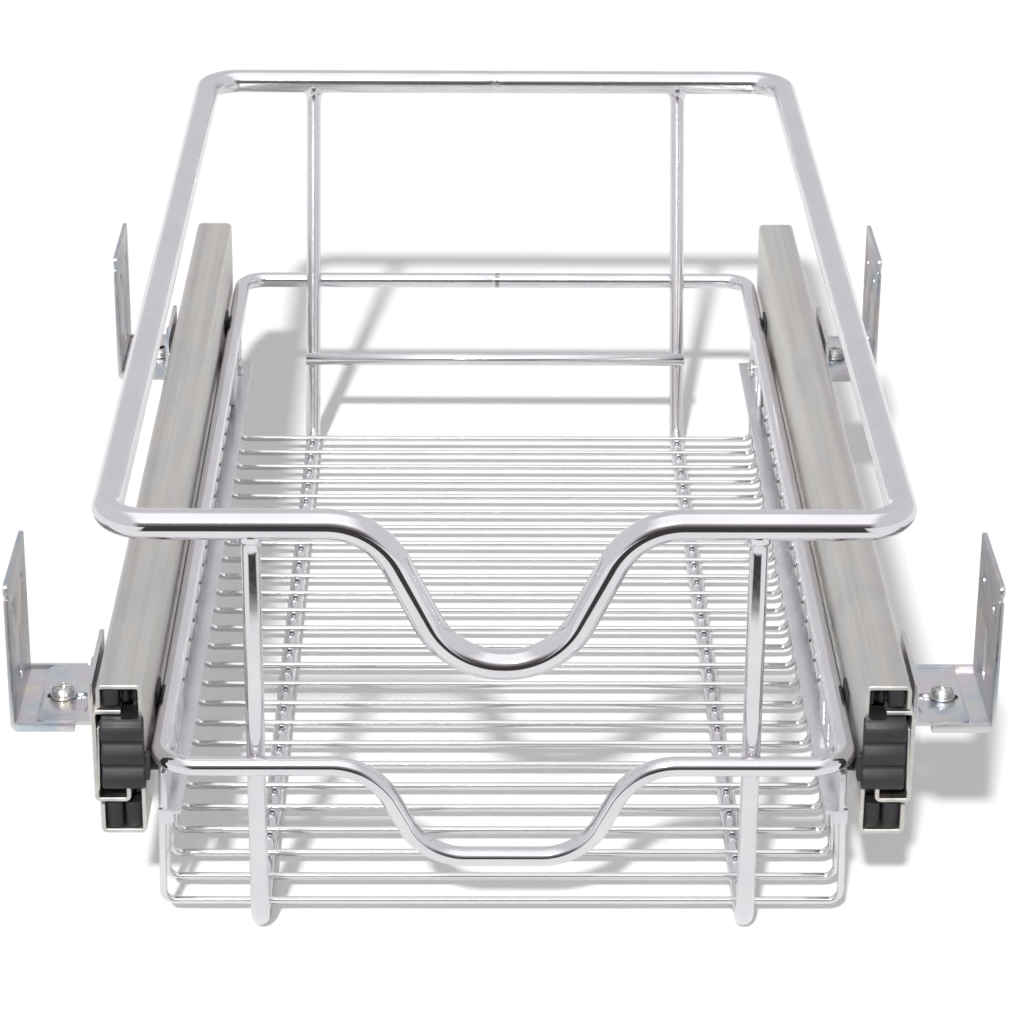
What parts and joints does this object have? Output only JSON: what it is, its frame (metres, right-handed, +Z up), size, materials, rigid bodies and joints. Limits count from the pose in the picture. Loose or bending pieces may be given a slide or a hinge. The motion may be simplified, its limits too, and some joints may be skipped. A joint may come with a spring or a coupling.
{
  "type": "pull out cabinet basket",
  "caption": "Chromed wire basket that slides out of a kitchen cabinet on two over-and-under ball runners with adjustable side brackets.",
  "frame": {"origin": "on the ground under the middle of the whole assembly's box", "axes": "+X to the right as seen from the front, +Y to the back, +Z up; the basket pulls out along -Y"},
  "size_m": [0.32, 0.4932, 0.155],
  "materials": {
    "chrome_rod": "polished chrome plating",
    "chrome_wire": "polished chrome plating",
    "plated_strip": "satin plating",
    "rail_steel": "zinc plated, rolled lengthwise",
    "zinc_plate": "blue-white zinc plating",
    "screw_steel": "bright zinc plating",
    "ball_steel": "polished",
    "dark_plastic": "moulded, satin"
  },
  "bodies": {
    "cabinet_side": {"left_cabinet_rail": "rail_steel", "right_cabinet_rail": "rail_steel", "left_tab_screws": "screw_steel", "right_tab_screws": "screw_steel", "front_left_bracket": "zinc_plate", "front_right_bracket": "zinc_plate", "rear_left_bracket": "zinc_plate", "rear_right_bracket": "zinc_plate"},
    "basket": {"top_rim": "chrome_rod", "mid_rim": "chrome_rod", "left_hanger": "chrome_rod", "right_hanger": "chrome_rod", "rear_guard_rod": "chrome_rod", "floor_wires": "chrome_wire", "left_side_strip": "plated_strip", "right_side_strip": "plated_strip", "front_left_plate": "plated_strip", "rear_left_plate": "plated_strip", "front_right_plate": "plated_strip", "rear_right_plate": "plated_strip", "left_plate_screws": "screw_steel", "right_plate_screws": "screw_steel", "left_rail_spacers": "dark_plastic", "right_rail_spacers": "dark_plastic", "left_basket_rail": "rail_steel", "right_basket_rail": "rail_steel", "left_front_bumper": "dark_plastic", "right_front_bumper": "dark_plastic", "left_end_plugs": "dark_plastic", "right_end_plugs": "dark_plastic"},
    "left_middle": {"left_middle_rail": "rail_steel"},
    "left_inner_ball_row": {"left_inner_cages": "dark_plastic", "left_inner_balls": "ball_steel"},
    "left_outer_ball_row": {"left_outer_cages": "dark_plastic", "left_outer_balls": "ball_steel"},
    "right_middle": {"right_middle_rail": "rail_steel"},
    "right_inner_ball_row": {"right_inner_cages": "dark_plastic", "right_inner_balls": "ball_steel"},
    "right_outer_ball_row": {"right_outer_cages": "dark_plastic", "right_outer_balls": "ball_steel"},
    "front_left_wing_set": {"front_left_wing": "zinc_plate", "front_left_clamp_screw": "screw_steel", "front_left_washer": "screw_steel"},
    "front_right_wing_set": {"front_right_wing": "zinc_plate", "front_right_clamp_screw": "screw_steel", "front_right_washer": "screw_steel"},
    "rear_left_wing_set": {"rear_left_wing": "zinc_plate", "rear_left_clamp_screw": "screw_steel", "rear_left_washer": "screw_steel"},
    "rear_right_wing_set": {"rear_right_wing": "zinc_plate", "rear_right_clamp_screw": "screw_steel", "rear_right_washer": "screw_steel"}
  },
  "joints": [
    {"name": "basket_slide", "type": "slide", "parent": "cabinet_side", "child": "basket", "axis": [0, -1, 0], "range_m": [0, 0.4]},
    {"name": "left_middle_slide", "type": "slide", "parent": "cabinet_side", "child": "left_middle", "axis": [0, -1, 0], "range_m": [0, 0.2]},
    {"name": "left_inner_ball_row_slide", "type": "slide", "parent": "cabinet_side", "child": "left_inner_ball_row", "axis": [0, -1, 0], "range_m": [0, 0.1]},
    {"name": "left_outer_ball_row_slide", "type": "slide", "parent": "cabinet_side", "child": "left_outer_ball_row", "axis": [0, -1, 0], "range_m": [0, 0.3]},
    {"name": "right_middle_slide", "type": "slide", "parent": "cabinet_side", "child": "right_middle", "axis": [0, -1, 0], "range_m": [0, 0.2]},
    {"name": "right_inner_ball_row_slide", "type": "slide", "parent": "cabinet_side", "child": "right_inner_ball_row", "axis": [0, -1, 0], "range_m": [0, 0.1]},
    {"name": "right_outer_ball_row_slide", "type": "slide", "parent": "cabinet_side", "child": "right_outer_ball_row", "axis": [0, -1, 0], "range_m": [0, 0.3]},
    {"name": "front_left_wing_slide", "type": "slide", "parent": "cabinet_side", "child": "front_left_wing_set", "axis": [-1, 0, 0], "range_m": [-0.006, 0.003]},
    {"name": "front_right_wing_slide", "type": "slide", "parent": "cabinet_side", "child": "front_right_wing_set", "axis": [1, 0, 0], "range_m": [-0.006, 0.003]},
    {"name": "rear_left_wing_slide", "type": "slide", "parent": "cabinet_side", "child": "rear_left_wing_set", "axis": [-1, 0, 0], "range_m": [0, 0.009]},
    {"name": "rear_right_wing_slide", "type": "slide", "parent": "cabinet_side", "child": "rear_right_wing_set", "axis": [1, 0, 0], "range_m": [0, 0.009]}
  ],
  "couplings": [
    {"joint": "left_middle_slide", "follows": "basket_slide", "ratio": 0.5},
    {"joint": "left_inner_ball_row_slide", "follows": "basket_slide", "ratio": 0.25},
    {"joint": "left_outer_ball_row_slide", "follows": "basket_slide", "ratio": 0.75},
    {"joint": "right_middle_slide", "follows": "basket_slide", "ratio": 0.5},
    {"joint": "right_inner_ball_row_slide", "follows": "basket_slide", "ratio": 0.25},
    {"joint": "right_outer_ball_row_slide", "follows": "basket_slide", "ratio": 0.75}
  ]
}
